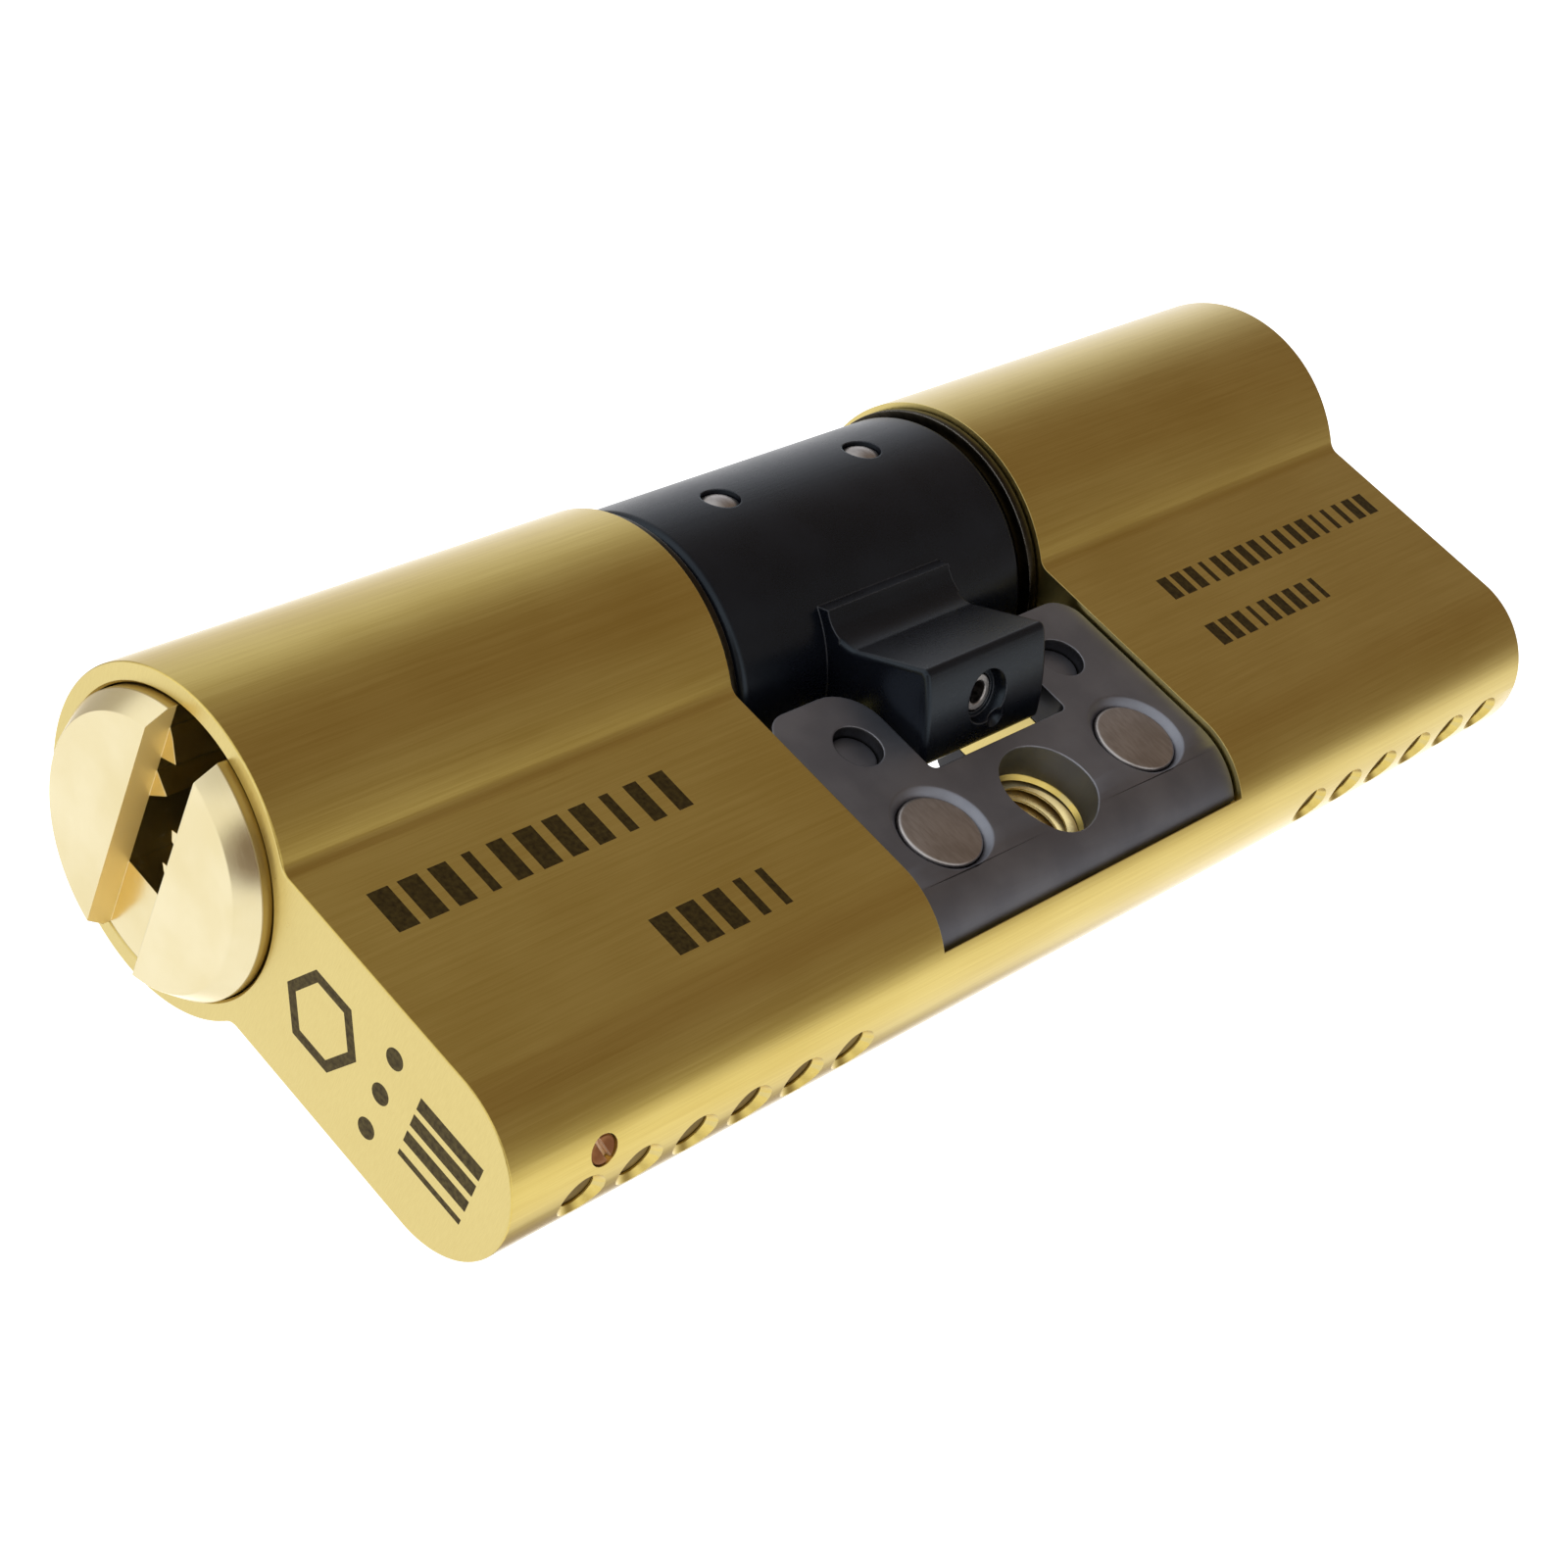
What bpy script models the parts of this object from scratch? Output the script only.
"""Double euro-profile lock cylinder with a steel-plated bridge, as separate pieces.

X runs along the plugs, the outdoor end at -X. Z runs from the lug up to the round head.
The origin is on the plug axis, midway along the cam. The pins stand as a key sets them,
at the shear line between plug and body, so each plug is free to turn.
"""

import math

import bmesh
import bpy
from mathutils import Matrix, Vector

MM = 0.001

# Body: round head, straight lug with a full-round lower edge, small fillet between them.
HALF_LENGTH = 40.0 * MM
HEAD_RADIUS = 8.5 * MM
LUG_HALF_WIDTH = 5.0 * MM
LUG_ROUND_Z = -19.5 * MM
SHOULDER_FILLET = 0.9 * MM
BORE_RADIUS = 7.5 * MM

# Bridge under the cam: a thin brass web between two pockets that hold the steel plates.
GAP_HALF_LENGTH = 12.1 * MM
BRIDGE_TOP_Z = -8.9 * MM
WEB_HALF_THICKNESS = 2.4 * MM
POCKET_FLOOR_Z = -23.5 * MM
LOBE_SLOT_HALF_LENGTH = 5.3 * MM
LOBE_SLOT_Z = -15.5 * MM

# Steel plates: their outer face follows the lug, set in by a little.
PLATE_HALF_LENGTH = 11.95 * MM
PLATE_INSET = 0.35 * MM
PLATE_INNER_Y = 2.6 * MM
PLATE_BOTTOM_Z = -23.25 * MM
PLATE_NOTCH_Z = -15.4 * MM
ARM_OUTER_RADIUS = 1.6 * MM
ARM_INNER_RADIUS = 2.4 * MM
NOTCH_CORNER_RADIUS = 0.4 * MM

# What passes through the bridge from side to side.
FIXING_X = 0.0
FIXING_Z = -18.8 * MM
FIXING_PLATE_RADIUS = 2.75 * MM
FIXING_THREAD_RADIUS = 2.1 * MM
RIVET_X = 7.8 * MM
RIVET_Z = -18.3 * MM
RIVET_RADIUS = 2.25 * MM
RIVET_HALF_LENGTH = 4.45 * MM
RIVET_CHAMFER = 0.45 * MM
PLATE_PIN_X = 8.0 * MM
PLATE_PIN_Z = -12.3 * MM
PLATE_PIN_RADIUS = 1.28 * MM
PLATE_PIN_HALF_LENGTH = 3.95 * MM
FIT_GAP = 0.05 * MM

# Plugs: a barrel in the body's bore, then a narrower nose inside the cam's sleeve.
PLUG_RADIUS = 7.42 * MM
PLUG_FACE_X = 41.5 * MM
PLUG_FACE_RADIUS = 6.7 * MM
PLUG_BEVEL_LENGTH = 1.0 * MM
PLUG_BEVEL_RADIUS = 7.37 * MM
PLUG_INNER_X = 11.15 * MM
NOSE_RADIUS = 5.5 * MM
NOSE_END_X = 2.4 * MM
NOSE_SLOT_DEPTH = 3.0 * MM
NOSE_HOLE_RADIUS = 1.6 * MM
KEYWAY_HALF_HEIGHT = 1.8 * MM
KEYWAY_CLOSED_Y = 3.0 * MM
KEYWAY_END_X = 13.0 * MM
FACE_SLOT_DEPTH = 1.5 * MM

# Retaining rings, in grooves between the body's cut face and the cam.
RING_OUTER_X = 12.0 * MM
RING_INNER_X = 11.4 * MM
RING_OUTER_RADIUS = 8.2 * MM
RING_INNER_RADIUS = 6.8 * MM
RING_GAP_ANGLE = math.radians(50)
GROOVE_CLEARANCE = 0.05 * MM

# Cam: a hub with one lobe, hanging 24 degrees out from straight down.
LOBE_ANGLE = math.radians(24)
HUB_RADIUS = 8.0 * MM
HUB_HALF_LENGTH = 11.0 * MM
HUB_CHAMFER = 0.5 * MM
HUB_BORE_RADIUS = 6.65 * MM
LOBE_TIP_RADIUS = 14.7 * MM
LOBE_HALF_WIDTH = 2.65 * MM
LOBE_WAIST = 2.2 * MM
LOBE_HALF_LENGTH = 4.7 * MM
LOBE_EDGE_RADIUS = 0.4 * MM
LOBE_MOUTH_RADIUS = 1.4 * MM
LOBE_MOUTH_DEPTH = 0.7 * MM
LOBE_HOLE_RADIUS = 1.05 * MM
LOBE_HOLE_END = 9.4 * MM

# Sleeve pinned inside the hub, and the blade that slides in its two slots.
SLEEVE_RADIUS = 6.6 * MM
SLEEVE_BORE_RADIUS = 5.6 * MM
SLEEVE_HALF_LENGTH = 10.8 * MM
SLEEVE_SLOT_HALF_LENGTH = 8.0 * MM
SLEEVE_SLOT_HALF_WIDTH = 1.1 * MM
HUB_PIN_X = 5.4 * MM
HUB_PIN_RADIUS = 1.0 * MM
HUB_PIN_INNER = 5.75 * MM
HUB_PIN_OUTER = 7.98 * MM
HUB_PIN_ANGLE = math.radians(18.6)
BLADE_RADIUS = 6.5 * MM
BLADE_HALF_WIDTH = 0.97 * MM
BLADE_START_X = -5.2 * MM
BLADE_LENGTH = 2.6 * MM

# Pin chambers: one row in each half, standing in the lug under the plug.
PITCH = 3.5 * MM
CHAMBERS_PER_SIDE = 6
FIRST_OUTDOOR_X = -35.5 * MM
FIRST_INDOOR_X = 19.5 * MM
CHAMBER_RADIUS = 1.25 * MM
CHAMBER_MOUTH_RADIUS = 1.5 * MM
CHAMBER_MOUTH_Z = -24.15 * MM
PIN_RADIUS = 1.15 * MM
PIN_CHAMFER = 0.25 * MM
KEY_PIN_FOOT_Z = -7.2 * MM
KEY_PIN_TIP_RADIUS = 0.35 * MM
KEY_PIN_CONE = 1.0 * MM
KEY_CUTS = (0.9 * MM, 0.3 * MM, 0.6 * MM, 1.2 * MM, 0.6 * MM, 0.3 * MM)
DRIVER_TOP_Z = -7.6 * MM
DRIVER_LENGTH = 5.0 * MM
DRIVER_WAIST_RADIUS = 0.85 * MM
CHAMBER_PLUG_RADIUS = 1.2 * MM
CHAMBER_PLUG_TOP_Z = -22.8 * MM
CHAMBER_PLUG_FOOT_Z = -24.2 * MM

# Small steel and copper pieces near the outdoor face.
DRILL_PIN_RADIUS = 0.75 * MM
DRILL_PIN_X = -37.9 * MM
DRILL_PIN_Y = 2.4 * MM
DRILL_PIN_LOW_Z = 2.6 * MM
DRILL_PIN_HIGH_Z = 6.8 * MM
LUG_DRILL_PIN_X = -38.2 * MM
LUG_DRILL_PIN_RADIUS = 1.0 * MM
LUG_DRILL_PIN_TOP_Z = -8.2 * MM
LUG_DRILL_PIN_FOOT_Z = -13.0 * MM
LUG_SCREW_X = -34.6 * MM
LUG_SCREW_ANGLE = math.radians(25.7)
LUG_SCREW_RADIUS = 0.74 * MM
LUG_SCREW_INNER = 4.0 * MM
LUG_SCREW_OUTER = 4.92 * MM
LUG_SCREW_SLOT = 0.3 * MM

ROUND_STEPS = 44
PIN_STEPS = 10
BIG = 30.0 * MM

LOBE_WAY = Vector((0.0, -math.sin(LOBE_ANGLE), -math.cos(LOBE_ANGLE)))
LOBE_SIDE = Vector((0.0, -math.cos(LOBE_ANGLE), math.sin(LOBE_ANGLE)))
HUB_PIN_WAY = Vector((0.0, -math.cos(HUB_PIN_ANGLE), math.sin(HUB_PIN_ANGLE)))
LUG_SCREW_WAY = Vector((0.0, -math.sin(LUG_SCREW_ANGLE), -math.cos(LUG_SCREW_ANGLE)))
UP = Vector((0.0, 0.0, 1.0))
ACROSS = Vector((0.0, 1.0, 0.0))
ALONG = Vector((1.0, 0.0, 0.0))


def clear_scene():
    for old in list(bpy.data.objects):
        bpy.data.objects.remove(old)


def metal(name, colour, roughness):
    made = bpy.data.materials.new(name)
    made.use_nodes = True
    shader = made.node_tree.nodes["Principled BSDF"]
    shader.inputs["Base Color"].default_value = (*colour, 1.0)
    shader.inputs["Roughness"].default_value = roughness
    shader.inputs["Metallic"].default_value = 1.0
    return made


def satin_brass():
    return metal("satin_brass", (0.50, 0.39, 0.16), 0.35)


def polished_brass():
    return metal("polished_brass", (0.80, 0.70, 0.42), 0.18)


def pin_brass():
    return metal("pin_brass", (0.62, 0.50, 0.24), 0.30)


def black_steel():
    return metal("black_steel", (0.05, 0.05, 0.055), 0.40)


def plate_steel():
    return metal("plate_steel", (0.20, 0.18, 0.19), 0.42)


def bright_steel():
    return metal("bright_steel", (0.55, 0.53, 0.52), 0.28)


def spring_steel():
    return metal("spring_steel", (0.30, 0.30, 0.31), 0.35)


def copper():
    return metal("copper", (0.45, 0.25, 0.12), 0.35)


def finished(name, mesh_data, material=None):
    """A new object from a bmesh, shaded smooth but for its sharp edges. Without a material it is a cutter."""
    bmesh.ops.recalc_face_normals(mesh_data, faces=mesh_data.faces)
    mesh = bpy.data.meshes.new(name)
    mesh_data.to_mesh(mesh)
    mesh_data.free()
    mesh.shade_smooth()
    mesh.set_sharp_from_angle(angle=math.radians(30))
    made = bpy.data.objects.new(name, mesh)
    bpy.context.scene.collection.objects.link(made)
    if material is None:
        made.hide_render = True
        made.display_type = "WIRE"
    else:
        mesh.materials.append(material)
    return made


def boolean(target, other, operation):
    step = target.modifiers.new(other.name, "BOOLEAN")
    step.operation = operation
    step.solver = "EXACT"
    step.object = other


def cut(target, cutter):
    boolean(target, cutter, "DIFFERENCE")


def add_prism(mesh_data, outline, low, high, frame):
    """Adds the outline, given in the frame's second and third axes, drawn out along its first."""
    ends = [[mesh_data.verts.new(frame @ Vector((x, a, b))) for a, b in outline] for x in (low, high)]
    mesh_data.faces.new(ends[0])
    mesh_data.faces.new(reversed(ends[1]))
    for i in range(len(outline)):
        after = (i + 1) % len(outline)
        mesh_data.faces.new((ends[0][i], ends[1][i], ends[1][after], ends[0][after]))


def prism(name, outline, low, high, material=None, frame=Matrix.Identity(3)):
    mesh_data = bmesh.new()
    add_prism(mesh_data, outline, low, high, frame)
    return finished(name, mesh_data, material)


def block(name, low, high):
    outline = [(low[1], low[2]), (high[1], low[2]), (high[1], high[2]), (low[1], high[2])]
    return prism(name, outline, low[0], high[0])


def add_turned(mesh_data, profile, steps, place):
    """Adds a solid turned from (distance along, radius) points; one that ends on the axis is solid."""
    ring = profile[0][1] > 0
    points = [mesh_data.verts.new(place @ Vector((x, 0.0, r))) for x, r in profile]
    edges = [mesh_data.edges.new(pair) for pair in zip(points, points[1:])]
    if ring:
        edges.append(mesh_data.edges.new((points[-1], points[0])))
    bmesh.ops.spin(
        mesh_data,
        geom=points + edges,
        cent=place @ Vector((0.0, 0.0, 0.0)),
        axis=place.to_3x3() @ ALONG,
        angle=math.tau,
        steps=steps,
        use_merge=True,
    )
    bmesh.ops.remove_doubles(mesh_data, verts=mesh_data.verts, dist=1e-6)


def turned(name, profile, steps=ROUND_STEPS, material=None, place=Matrix.Identity(4)):
    mesh_data = bmesh.new()
    add_turned(mesh_data, profile, steps, place)
    return finished(name, mesh_data, material)


def rod_profile(start, end, radius, chamfer=0.0):
    if chamfer == 0.0:
        return [(start, 0.0), (start, radius), (end, radius), (end, 0.0)]
    return [
        (start, 0.0),
        (start, radius - chamfer),
        (start + chamfer, radius),
        (end - chamfer, radius),
        (end, radius - chamfer),
        (end, 0.0),
    ]


def facing(direction, at=Vector((0.0, 0.0, 0.0))):
    """Turns the X axis to the direction and moves the start to the given point."""
    return Matrix.Translation(at) @ ALONG.rotation_difference(direction).to_matrix().to_4x4()


def stand(obj, at, direction):
    obj.location = at
    obj.rotation_mode = "QUATERNION"
    obj.rotation_quaternion = ALONG.rotation_difference(direction)


def arc(centre, radius, start, end, steps):
    return [
        (
            centre[0] + radius * math.cos(start + (end - start) * i / steps),
            centre[1] + radius * math.sin(start + (end - start) * i / steps),
        )
        for i in range(steps + 1)
    ]


def rounded(corners, steps=5):
    """A closed outline from (across, up, radius) corners, each rounded by its own radius."""
    outline = []
    for i, (a, b, radius) in enumerate(corners):
        here = Vector((a, b))
        if radius == 0.0:
            outline.append((a, b))
            continue
        before = (Vector(corners[i - 1][:2]) - here).normalized()
        after = (Vector(corners[(i + 1) % len(corners)][:2]) - here).normalized()
        half = before.angle(after) / 2
        centre = here + (before + after).normalized() * radius / math.sin(half)
        first = here + before * radius / math.tan(half) - centre
        last = here + after * radius / math.tan(half) - centre
        turn = first.angle_signed(last)
        for k in range(steps + 1):
            spun = Matrix.Rotation(-turn * k / steps, 2) @ first
            outline.append(tuple(centre + spun))
    return outline


def body_outline():
    """The euro profile, clockwise from the +Y shoulder over the head and round the lug."""
    reach = HEAD_RADIUS + SHOULDER_FILLET
    fillet_y = LUG_HALF_WIDTH + SHOULDER_FILLET
    fillet_z = -math.sqrt(reach**2 - fillet_y**2)
    meet = math.atan2(fillet_z, fillet_y)
    head = arc((0.0, 0.0), HEAD_RADIUS, meet, math.pi - meet, 40)
    left = arc((-fillet_y, fillet_z), SHOULDER_FILLET, -meet, 0.0, 3)
    lug = arc((0.0, LUG_ROUND_Z), LUG_HALF_WIDTH, math.pi, math.tau, 20)
    right = arc((fillet_y, fillet_z), SHOULDER_FILLET, math.pi, math.pi + meet, 3)
    return head + left[1:] + lug + right[:-1]


def chamber_places():
    """(label, X) of each chamber, counted from the outdoor end of its own half."""
    outdoor = [(f"e{i + 1}", FIRST_OUTDOOR_X + i * PITCH) for i in range(CHAMBERS_PER_SIDE)]
    indoor = [(f"i{i + 1}", FIRST_INDOOR_X + i * PITCH) for i in range(CHAMBERS_PER_SIDE)]
    return outdoor + indoor


def chamber_cutter():
    """Every chamber, with its wider mouth in the lug's lower edge."""
    mesh_data = bmesh.new()
    profile = [
        (-BIG, 0.0),
        (-BIG, CHAMBER_MOUTH_RADIUS),
        (CHAMBER_MOUTH_Z, CHAMBER_MOUTH_RADIUS),
        (CHAMBER_MOUTH_Z, CHAMBER_RADIUS),
        (-6.0 * MM, CHAMBER_RADIUS),
        (-6.0 * MM, 0.0),
    ]
    for _, x in chamber_places():
        add_turned(mesh_data, profile, PIN_STEPS, facing(UP, Vector((x, 0.0, 0.0))))
    return finished("cut_chambers", mesh_data)


def cross_holes(name, fixing_radius):
    """The holes that run through the bridge along Y: fixing screw, two rivets, two plate pins."""
    mesh_data = bmesh.new()
    holes = [(FIXING_X, FIXING_Z, fixing_radius)]
    for side in (-1, 1):
        holes.append((side * RIVET_X, RIVET_Z, RIVET_RADIUS + FIT_GAP))
        holes.append((side * PLATE_PIN_X, PLATE_PIN_Z, PLATE_PIN_RADIUS + FIT_GAP))
    for x, z, radius in holes:
        profile = rod_profile(-BIG, BIG, radius)
        add_turned(mesh_data, profile, 2 * PIN_STEPS, facing(ACROSS, Vector((x, 0.0, z))))
    return finished(name, mesh_data)


def rivet_countersinks():
    """The chamfered mouths of the rivet holes in both plates' outer faces."""
    mesh_data = bmesh.new()
    face = LUG_HALF_WIDTH - PLATE_INSET
    inner = RIVET_RADIUS + FIT_GAP
    profile = [
        (face - RIVET_CHAMFER, 0.0),
        (face - RIVET_CHAMFER, inner),
        (face + RIVET_CHAMFER, inner + 2 * RIVET_CHAMFER),
        (face + RIVET_CHAMFER, 0.0),
    ]
    for side in (-1, 1):
        for way in (-1, 1):
            place = facing(way * ACROSS, Vector((side * RIVET_X, 0.0, RIVET_Z)))
            add_turned(mesh_data, profile, 2 * PIN_STEPS, place)
    return finished("cut_rivet_countersinks", mesh_data)


def lug_screw_place():
    return Vector((LUG_SCREW_X, 0.0, LUG_ROUND_Z))


def make_body(brass, chambers):
    body = prism("cylinder_body", body_outline(), -HALF_LENGTH, HALF_LENGTH, brass)
    gap = GAP_HALF_LENGTH
    cut(body, block("cut_cam_gap", (-gap, -BIG, BRIDGE_TOP_Z), (gap, BIG, BIG)))
    for side, name in ((-1, "front"), (1, "back")):
        near, far = sorted((side * WEB_HALF_THICKNESS, side * BIG))
        pocket = block(f"cut_pocket_{name}", (-gap, near, POCKET_FLOOR_Z), (gap, far, BRIDGE_TOP_Z + MM))
        cut(body, pocket)
    slot = LOBE_SLOT_HALF_LENGTH
    cut(body, block("cut_lobe_slot", (-slot, -BIG, LOBE_SLOT_Z), (slot, BIG, BRIDGE_TOP_Z + MM)))
    cut(body, turned("cut_bores", rod_profile(-BIG * 2, BIG * 2, BORE_RADIUS)))
    cut(body, chambers)
    cut(body, cross_holes("cut_web_holes", FIXING_THREAD_RADIUS))
    screw_hole = rod_profile(LUG_SCREW_INNER - FIT_GAP, LUG_SCREW_OUTER + MM, LUG_SCREW_RADIUS + FIT_GAP)
    cut(body, turned("cut_screw_hole", screw_hole, PIN_STEPS, None, facing(LUG_SCREW_WAY, lug_screw_place())))
    drill_hole = rod_profile(LUG_DRILL_PIN_FOOT_Z - FIT_GAP, -6 * MM, LUG_DRILL_PIN_RADIUS + FIT_GAP)
    place = facing(UP, Vector((LUG_DRILL_PIN_X, 0.0, 0.0)))
    cut(body, turned("cut_lug_drill_hole", drill_hole, PIN_STEPS, None, place))
    return body


def plate_face_outline():
    """The plate seen from its side, X across and Z up: two arms with the lobe's notch between."""
    end = PLATE_HALF_LENGTH
    slot = LOBE_SLOT_HALF_LENGTH
    return rounded(
        [
            (-end, PLATE_BOTTOM_Z, 0.0),
            (end, PLATE_BOTTOM_Z, 0.0),
            (end, BRIDGE_TOP_Z, ARM_OUTER_RADIUS),
            (slot, BRIDGE_TOP_Z, ARM_INNER_RADIUS),
            (slot, PLATE_NOTCH_Z, NOTCH_CORNER_RADIUS),
            (-slot, PLATE_NOTCH_Z, NOTCH_CORNER_RADIUS),
            (-slot, BRIDGE_TOP_Z, ARM_INNER_RADIUS),
            (-end, BRIDGE_TOP_Z, ARM_OUTER_RADIUS),
        ]
    )


def make_plate(name, side, steel, holes, countersinks):
    """One plate: the lug's own section, set in, cut to the outline of arms and notch."""
    radius = LUG_HALF_WIDTH - PLATE_INSET
    drop = math.acos(PLATE_INNER_Y / radius)
    curve = arc((0.0, LUG_ROUND_Z), radius, math.pi, math.pi + drop, 14)
    section = [(-PLATE_INNER_Y, 0.0), (-radius, 0.0)] + curve
    section = [(-side * y, z) for y, z in section]
    plate = prism(name, section, -PLATE_HALF_LENGTH - MM, PLATE_HALF_LENGTH + MM, steel)
    turn = Matrix(((0.0, 1.0, 0.0), (1.0, 0.0, 0.0), (0.0, 0.0, 1.0)))
    outline = prism(f"outline_{name}", plate_face_outline(), -BIG, BIG, None, turn)
    boolean(plate, outline, "INTERSECT")
    cut(plate, holes)
    cut(plate, countersinks)
    return plate


def make_through_pins(steel):
    for side, end in ((-1, "external"), (1, "internal")):
        rivet = rod_profile(-RIVET_HALF_LENGTH, RIVET_HALF_LENGTH, RIVET_RADIUS, 0.15 * MM)
        made = turned(f"bridge_rivet_{end}", rivet, 2 * PIN_STEPS, steel)
        stand(made, Vector((side * RIVET_X, 0.0, RIVET_Z)), ACROSS)
        pin = rod_profile(-PLATE_PIN_HALF_LENGTH, PLATE_PIN_HALF_LENGTH, PLATE_PIN_RADIUS, 0.1 * MM)
        made = turned(f"plate_pin_{end}", pin, 2 * PIN_STEPS, steel)
        stand(made, Vector((side * PLATE_PIN_X, 0.0, PLATE_PIN_Z)), ACROSS)


def keyway_outline():
    """The keyway, Y across and Z up: open at -Y, with two teeth above and two ribs below."""
    wall = KEYWAY_HALF_HEIGHT
    teeth = [(-5.8, 1.8), (-5.35, 1.43), (-4.34, 0.83), (-3.9, 1.8), (-3.05, 1.8), (-2.33, 0.79), (-1.4, 1.8)]
    ribs = [(1.9, -1.8), (1.5, -0.4), (1.1, -0.15), (0.8, -1.8), (-0.1, -1.8), (-0.45, -0.3), (-1.0, -0.1), (-1.5, -1.8)]
    outline = [(-BIG, wall)]
    outline += [(y * MM, z * MM) for y, z in teeth]
    outline += [(KEYWAY_CLOSED_Y, wall), (KEYWAY_CLOSED_Y, -wall)]
    outline += [(y * MM, z * MM) for y, z in ribs]
    outline += [(-BIG, -wall)]
    return outline


def plug_profile():
    """The plug turned about X, from its outdoor face to its nose's end, with the ring's groove."""
    groove = RING_INNER_RADIUS - GROOVE_CLEARANCE
    return [
        (-PLUG_FACE_X, 0.0),
        (-PLUG_FACE_X, PLUG_FACE_RADIUS),
        (-PLUG_FACE_X + PLUG_BEVEL_LENGTH, PLUG_BEVEL_RADIUS),
        (-PLUG_FACE_X + PLUG_BEVEL_LENGTH + GROOVE_CLEARANCE, PLUG_RADIUS),
        (-RING_OUTER_X - GROOVE_CLEARANCE, PLUG_RADIUS),
        (-RING_OUTER_X - GROOVE_CLEARANCE, groove),
        (-RING_INNER_X + GROOVE_CLEARANCE, groove),
        (-RING_INNER_X + GROOVE_CLEARANCE, PLUG_RADIUS),
        (-PLUG_INNER_X, PLUG_RADIUS),
        (-PLUG_INNER_X, NOSE_RADIUS),
        (-NOSE_END_X, NOSE_RADIUS),
        (-NOSE_END_X, 0.0),
    ]


def pin_hole_cutter(name, first_x):
    mesh_data = bmesh.new()
    for i in range(CHAMBERS_PER_SIDE):
        place = facing(UP, Vector((first_x + i * PITCH, 0.0, 0.0)))
        add_turned(mesh_data, rod_profile(-9 * MM, 0.4 * MM, CHAMBER_RADIUS), PIN_STEPS, place)
    return finished(name, mesh_data)


def nose_slot_frame():
    """Columns: along X, along the lobe's way, across it."""
    return Matrix((ALONG, LOBE_WAY, LOBE_SIDE)).transposed()


def make_plug(name, side, first_x, brass):
    """A plug facing outdoors, or, for side 1, the same turned half round about Z."""
    plug = turned(name, plug_profile(), ROUND_STEPS, brass)
    turn = Matrix.Rotation(math.pi if side > 0 else 0.0, 4, "Z")
    keyway = prism(f"cut_keyway_{name}", keyway_outline(), -PLUG_FACE_X - MM, -KEYWAY_END_X)
    face_x = PLUG_FACE_X - FACE_SLOT_DEPTH
    wall = KEYWAY_HALF_HEIGHT
    face_slot = block(f"cut_face_slot_{name}", (-PLUG_FACE_X - MM, -BIG, -wall), (-face_x, BIG, wall))
    hole = turned(f"cut_nose_hole_{name}", rod_profile(-KEYWAY_END_X - MM, 0.0, NOSE_HOLE_RADIUS), 2 * PIN_STEPS)
    for obj in (plug, keyway, face_slot, hole):
        obj.matrix_world = turn
    slot_width = SLEEVE_SLOT_HALF_WIDTH - FIT_GAP
    slot_ends = [(-BIG, -slot_width), (BIG, -slot_width), (BIG, slot_width), (-BIG, slot_width)]
    near, far = sorted((side * NOSE_END_X - side * MM, side * (NOSE_END_X + NOSE_SLOT_DEPTH)))
    nose_slot = prism(f"cut_nose_slot_{name}", slot_ends, near, far, None, nose_slot_frame())
    pin_holes = pin_hole_cutter(f"cut_pin_holes_{name}", first_x)
    for cutter in (keyway, face_slot, hole, nose_slot, pin_holes):
        cut(plug, cutter)
    return plug


def make_plug_drill_pins(plug, steel):
    """Two hardened pins let into the outdoor plug above its keyway, behind the face."""
    mesh_data = bmesh.new()
    for side, end in ((-1, "left"), (1, "right")):
        foot = Vector((DRILL_PIN_X, side * DRILL_PIN_Y, 0.0))
        hole = rod_profile(DRILL_PIN_LOW_Z - FIT_GAP, BIG, DRILL_PIN_RADIUS + FIT_GAP)
        add_turned(mesh_data, hole, PIN_STEPS, facing(UP, foot))
        pin = rod_profile(DRILL_PIN_LOW_Z, DRILL_PIN_HIGH_Z, DRILL_PIN_RADIUS)
        stand(turned(f"plug_drill_pin_{end}", pin, PIN_STEPS, steel), foot, UP)
    cut(plug, finished("cut_plug_drill_holes", mesh_data))


def make_lug_drill_pin(steel):
    pin = rod_profile(LUG_DRILL_PIN_FOOT_Z, LUG_DRILL_PIN_TOP_Z, LUG_DRILL_PIN_RADIUS)
    made = turned("body_drill_pin", pin, PIN_STEPS, steel)
    stand(made, Vector((LUG_DRILL_PIN_X, 0.0, 0.0)), UP)


def make_ring(name, side, steel):
    """An open retaining ring, its gap upwards."""
    start = math.pi / 2 + RING_GAP_ANGLE / 2
    end = math.pi / 2 + math.tau - RING_GAP_ANGLE / 2
    outline = arc((0.0, 0.0), RING_OUTER_RADIUS, start, end, 30)
    outline += reversed(arc((0.0, 0.0), RING_INNER_RADIUS, start, end, 30))
    low, high = sorted((side * RING_OUTER_X, side * RING_INNER_X))
    return prism(name, outline, low, high, steel)


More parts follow.
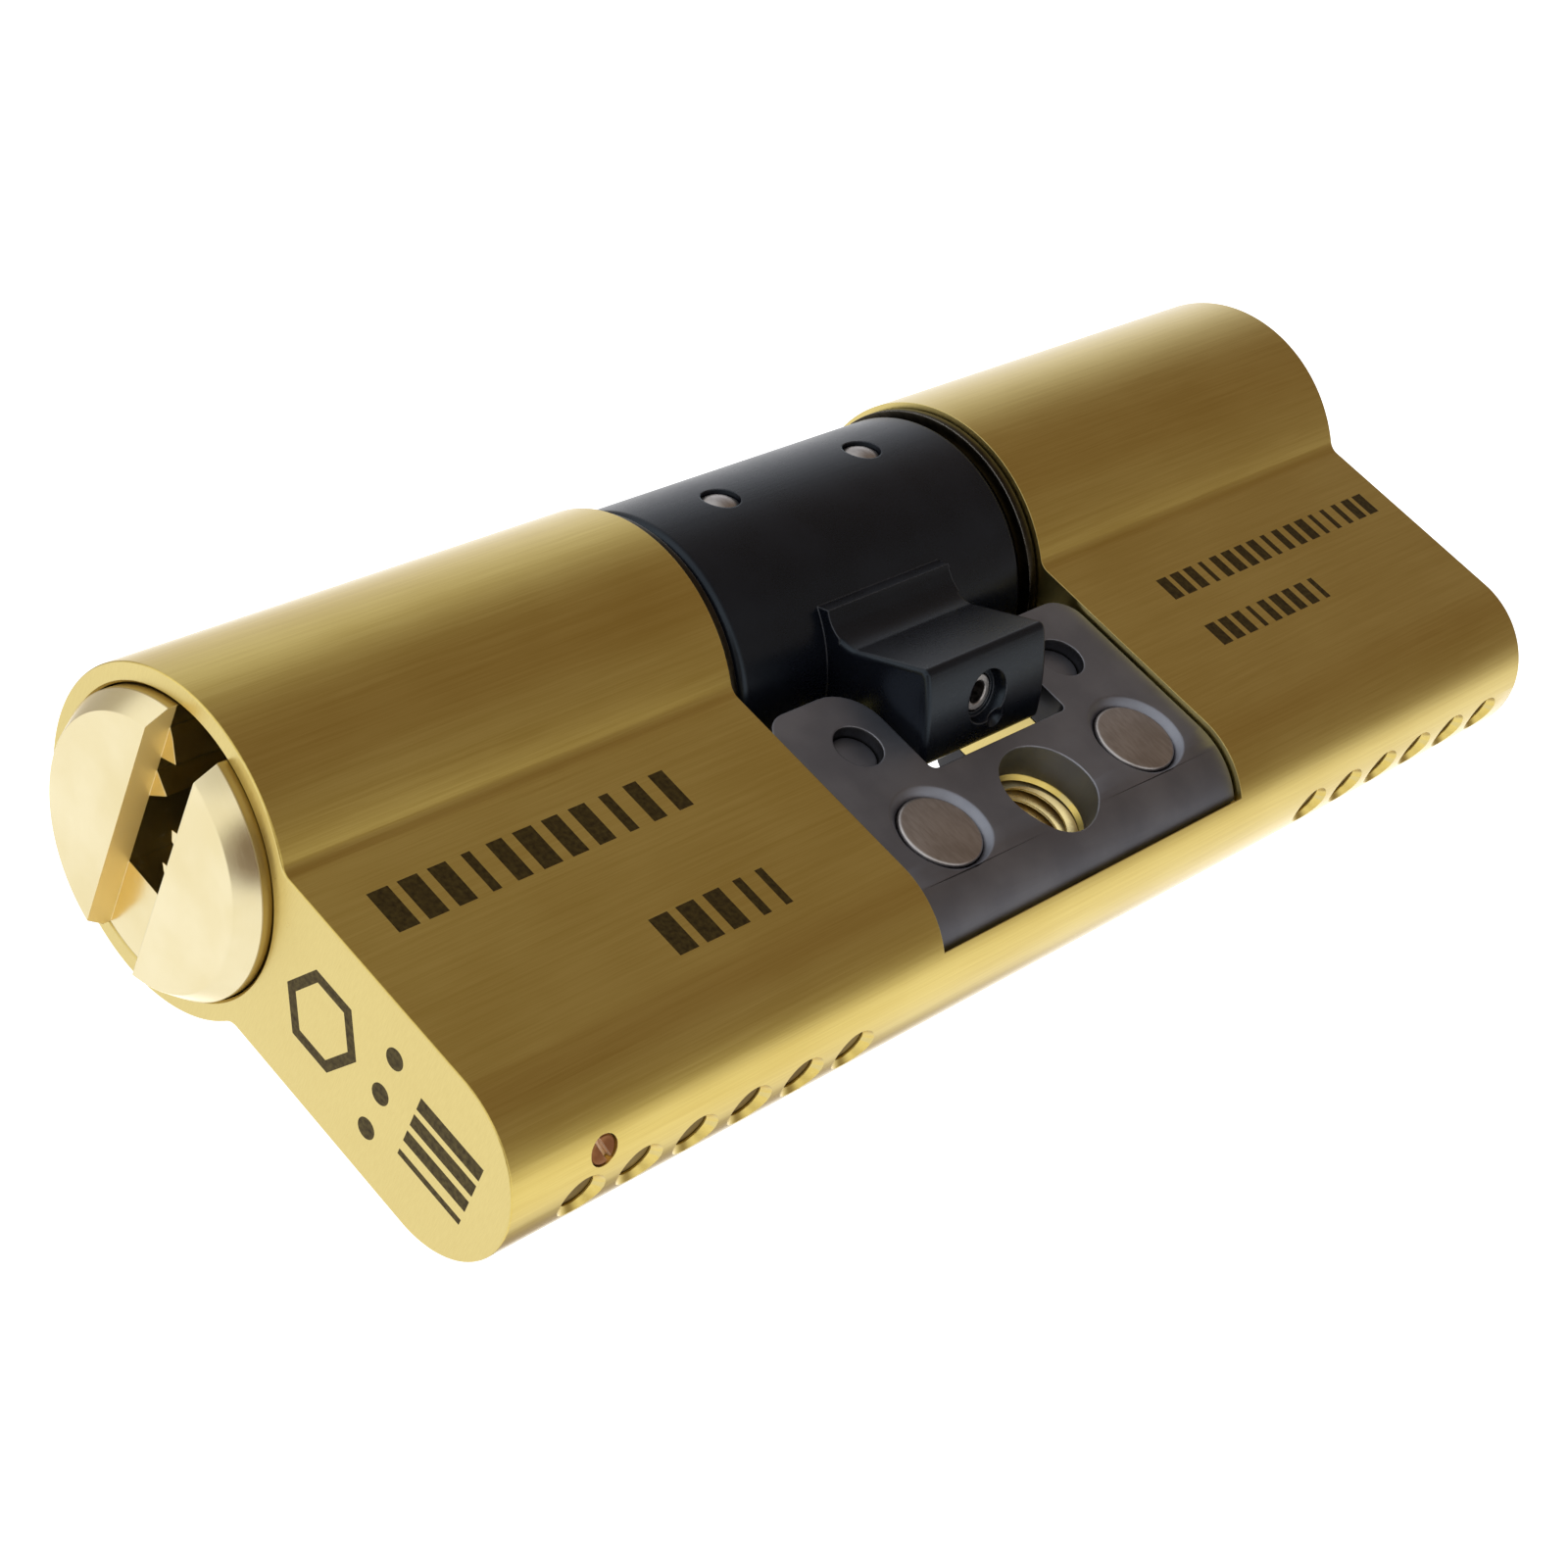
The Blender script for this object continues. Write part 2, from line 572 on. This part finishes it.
def lobe_outline():
    """The lobe's section, along its own way and across: waisted flanks, flared root, round tip."""
    tip = math.asin((LOBE_HALF_WIDTH - LOBE_EDGE_RADIUS) / LOBE_TIP_RADIUS)
    flank = [
        (HUB_BORE_RADIUS + 0.2 * MM, LOBE_HALF_WIDTH + 1.0 * MM),
        (7.4 * MM, LOBE_HALF_WIDTH + 0.9 * MM),
        (8.0 * MM, LOBE_WAIST + 0.5 * MM),
        (8.7 * MM, LOBE_WAIST + 0.1 * MM),
        (9.7 * MM, LOBE_WAIST),
        (LOBE_TIP_RADIUS - 1.0 * MM, LOBE_HALF_WIDTH),
        (LOBE_TIP_RADIUS - 0.45 * MM, LOBE_HALF_WIDTH - 0.12 * MM),
    ]
    nose = arc((0.0, 0.0), LOBE_TIP_RADIUS, tip, -tip, 6)
    return flank + nose + [(along, -across) for along, across in reversed(flank)]


def make_cam(steel):
    """The hub and lobe as one piece, bored for the sleeve, its two pins and the lobe's pin."""
    end = HUB_HALF_LENGTH
    hub_profile = [
        (-end, HUB_BORE_RADIUS),
        (-end, HUB_RADIUS - HUB_CHAMFER),
        (-end + HUB_CHAMFER, HUB_RADIUS),
        (end - HUB_CHAMFER, HUB_RADIUS),
        (end, HUB_RADIUS - HUB_CHAMFER),
        (end, HUB_BORE_RADIUS),
    ]
    cam = turned("cam", hub_profile, ROUND_STEPS, steel)
    half = LOBE_HALF_LENGTH
    lobe = prism("union_lobe", lobe_outline(), -half, half, None, nose_slot_frame())
    boolean(cam, lobe, "UNION")
    mouth = LOBE_TIP_RADIUS - LOBE_MOUTH_DEPTH
    stepped = [
        (LOBE_HOLE_END, 0.0),
        (LOBE_HOLE_END, LOBE_HOLE_RADIUS),
        (mouth, LOBE_HOLE_RADIUS),
        (mouth, LOBE_MOUTH_RADIUS),
        (BIG, LOBE_MOUTH_RADIUS),
        (BIG, 0.0),
    ]
    cut(cam, turned("cut_lobe_hole", stepped, 2 * PIN_STEPS, None, facing(LOBE_WAY)))
    return cam


def make_hub_pins(cam, sleeve, steel):
    for side, end in ((-1, "external"), (1, "internal")):
        foot = Vector((side * HUB_PIN_X, 0.0, 0.0))
        hole = rod_profile(HUB_PIN_INNER - MM, BIG, HUB_PIN_RADIUS + FIT_GAP)
        cutter = turned(f"cut_hub_pin_{end}", hole, 2 * PIN_STEPS, None, facing(HUB_PIN_WAY, foot))
        cut(cam, cutter)
        cut(sleeve, cutter)
        pin = rod_profile(HUB_PIN_INNER, HUB_PIN_OUTER, HUB_PIN_RADIUS)
        stand(turned(f"cam_pin_{end}", pin, 2 * PIN_STEPS, steel), foot, HUB_PIN_WAY)


def make_lobe_pin(steel):
    """A hollow pin in the lobe's end, below the mouth of its hole."""
    outer = LOBE_HOLE_RADIUS - FIT_GAP
    inner = 0.6 * MM
    low = LOBE_HOLE_END + FIT_GAP
    high = LOBE_TIP_RADIUS - LOBE_MOUTH_DEPTH
    profile = [(low, inner), (low, outer), (high, outer), (high, inner)]
    stand(turned("cam_lobe_pin", profile, 2 * PIN_STEPS, steel), Vector((0.0, 0.0, 0.0)), LOBE_WAY)


def make_sleeve(steel):
    end = SLEEVE_HALF_LENGTH
    inner, outer = SLEEVE_BORE_RADIUS, SLEEVE_RADIUS
    profile = [(-end, inner), (-end, outer), (end, outer), (end, inner)]
    sleeve = turned("cam_sleeve", profile, ROUND_STEPS, steel)
    half = SLEEVE_SLOT_HALF_WIDTH
    slot = [(-BIG, -half), (BIG, -half), (BIG, half), (-BIG, half)]
    length = SLEEVE_SLOT_HALF_LENGTH
    cut(sleeve, prism("cut_sleeve_slot", slot, -length, length, None, nose_slot_frame()))
    return sleeve


def make_blade(steel):
    """The coupling blade, lying across the axis in the outdoor plug's nose slot."""
    reach = math.asin(BLADE_HALF_WIDTH / BLADE_RADIUS)
    outline = arc((0.0, 0.0), BLADE_RADIUS, -reach, reach, 4)
    outline += arc((0.0, 0.0), BLADE_RADIUS, math.pi - reach, math.pi + reach, 4)
    blade = prism("clutch_blade", outline, 0.0, BLADE_LENGTH, steel, nose_slot_frame())
    blade.location = Vector((BLADE_START_X, 0.0, 0.0))


def key_pin_profile(key_cut):
    tip = key_cut - KEYWAY_HALF_HEIGHT
    foot = KEY_PIN_FOOT_Z
    return [
        (foot, 0.0),
        (foot, PIN_RADIUS - PIN_CHAMFER),
        (foot + PIN_CHAMFER, PIN_RADIUS),
        (tip - KEY_PIN_CONE, PIN_RADIUS),
        (tip, KEY_PIN_TIP_RADIUS),
        (tip, 0.0),
    ]


def driver_pin_profile():
    """A spool: two collars on a narrower waist, which makes picking harder."""
    top, foot = DRIVER_TOP_Z, DRIVER_TOP_Z - DRIVER_LENGTH
    collar = 1.2 * MM
    return [
        (foot, 0.0),
        (foot, PIN_RADIUS),
        (foot + collar, PIN_RADIUS),
        (foot + collar, DRIVER_WAIST_RADIUS),
        (top - collar, DRIVER_WAIST_RADIUS),
        (top - collar, PIN_RADIUS),
        (top, PIN_RADIUS),
        (top, 0.0),
    ]


def make_pin_stacks(brass, steel):
    """A key pin, a driver pin and a chamber plug at each chamber."""
    for i, (label, x) in enumerate(chamber_places()):
        at = Vector((x, 0.0, 0.0))
        key_cut = KEY_CUTS[i % CHAMBERS_PER_SIDE]
        stand(turned(f"key_pin_{label}", key_pin_profile(key_cut), PIN_STEPS, brass), at, UP)
        stand(turned(f"driver_pin_{label}", driver_pin_profile(), PIN_STEPS, steel), at, UP)
        stopper = rod_profile(CHAMBER_PLUG_FOOT_Z, CHAMBER_PLUG_TOP_Z, CHAMBER_PLUG_RADIUS)
        stand(turned(f"chamber_plug_{label}", stopper, PIN_STEPS, brass), at, UP)


def make_lug_screw(material):
    """A short slotted screw, square to the lug's round."""
    profile = rod_profile(LUG_SCREW_INNER, LUG_SCREW_OUTER, LUG_SCREW_RADIUS)
    screw = turned("lug_screw", profile, PIN_STEPS, material)
    half = LUG_SCREW_SLOT / 2
    slot = [(-BIG, -half), (BIG, -half), (BIG, half), (-BIG, half)]
    cutter = prism("cut_screw_slot", slot, LUG_SCREW_OUTER - 0.35 * MM, LUG_SCREW_OUTER + MM)
    for obj in (screw, cutter):
        stand(obj, lug_screw_place(), LUG_SCREW_WAY)
    cut(screw, cutter)


def build():
    clear_scene()
    brass, pale_brass, pins = satin_brass(), polished_brass(), pin_brass()
    black, plates, bright = black_steel(), plate_steel(), bright_steel()
    rings = spring_steel()
    make_body(brass, chamber_cutter())
    plate_holes = cross_holes("cut_plate_holes", FIXING_PLATE_RADIUS)
    countersinks = rivet_countersinks()
    make_plate("plate_front", -1, plates, plate_holes, countersinks)
    make_plate("plate_back", 1, plates, plate_holes, countersinks)
    make_through_pins(bright)
    outdoor = make_plug("plug_external", -1, FIRST_OUTDOOR_X, pale_brass)
    make_plug("plug_internal", 1, FIRST_INDOOR_X, pale_brass)
    make_plug_drill_pins(outdoor, rings)
    make_lug_drill_pin(rings)
    make_ring("circlip_external", -1, rings)
    make_ring("circlip_internal", 1, rings)
    cam = make_cam(black)
    sleeve = make_sleeve(rings)
    make_hub_pins(cam, sleeve, bright)
    make_lobe_pin(bright)
    make_blade(bright)
    make_pin_stacks(pins, bright)
    make_lug_screw(copper())


build()
